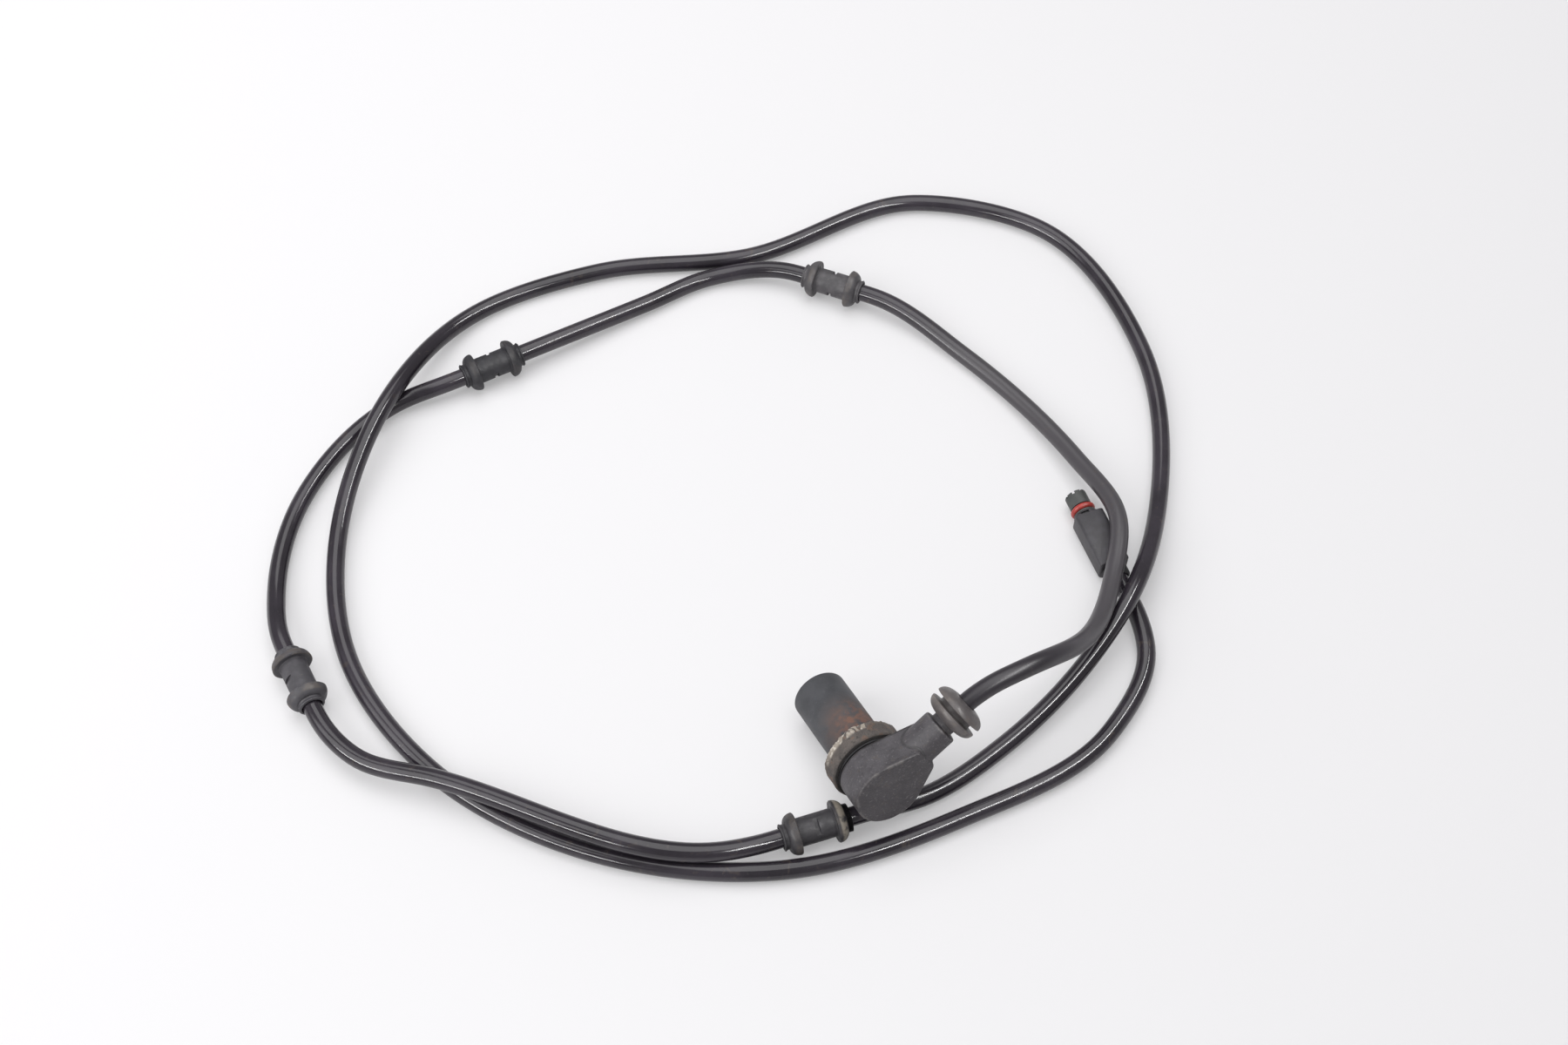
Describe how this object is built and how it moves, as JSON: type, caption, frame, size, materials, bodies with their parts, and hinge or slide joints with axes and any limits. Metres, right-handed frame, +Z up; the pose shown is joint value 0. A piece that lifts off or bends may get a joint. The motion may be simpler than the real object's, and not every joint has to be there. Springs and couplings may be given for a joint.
{
  "type": "wheel speed sensor",
  "caption": "Wheel speed sensor: a round metal barrel with stop flange and moulded side outlet, on a long free cable with rubber spool grommets and a round-nosed in-line plug.",
  "frame": {"origin": "on the surface the part lies on, under the middle of the sensor head's bounding box, with the cable and what is on it left out", "axes": "+Z up, +Y the level direction in which the barrel points, +X the side of the cable outlet"},
  "size_m": [0.3338, 0.267, 0.0435],
  "materials": {
    "barrel_steel": "weathered dark steel with rust near the flange",
    "flange_plate": "brown-grey with a flaky deposit",
    "rubber": "dull, dusty",
    "housing_plastic": "moulded, slightly worn",
    "iron": "turned soft iron",
    "magnet_alloy": "plated",
    "bobbin_plastic": "moulded",
    "copper": "enamelled copper wire",
    "tinned_brass": "tinned",
    "lead_red": "wire insulation",
    "lead_blue": "wire insulation",
    "cable_jacket": "black jacket, glossy, dusty near the head",
    "plug_plastic": "moulded",
    "ring_silicone": "smooth"
  },
  "bodies": {
    "root": {"sensor_barrel": "barrel_steel", "stop_flange": "flange_plate", "flange_seal": "rubber", "sensor_housing": "housing_plastic", "pole_pin": "iron", "magnet": "magnet_alloy", "coil_bobbin": "bobbin_plastic", "coil_winding": "copper", "terminal_a": "tinned_brass", "terminal_b": "tinned_brass", "crimp_a": "tinned_brass", "crimp_b": "tinned_brass", "lead_wire_a": "lead_red", "lead_wire_b": "lead_blue", "bracket_grommet": "rubber", "cable_grommet_1": "rubber", "cable_grommet_2": "rubber", "cable_grommet_3": "rubber", "cable_grommet_4": "rubber", "cable": "cable_jacket", "plug_body": "plug_plastic", "plug_insert": "plug_plastic", "plug_seal_ring": "ring_silicone", "plug_contact_a": "tinned_brass", "plug_contact_b": "tinned_brass", "plug_rear_seal": "rubber"}
  },
  "joints": []
}
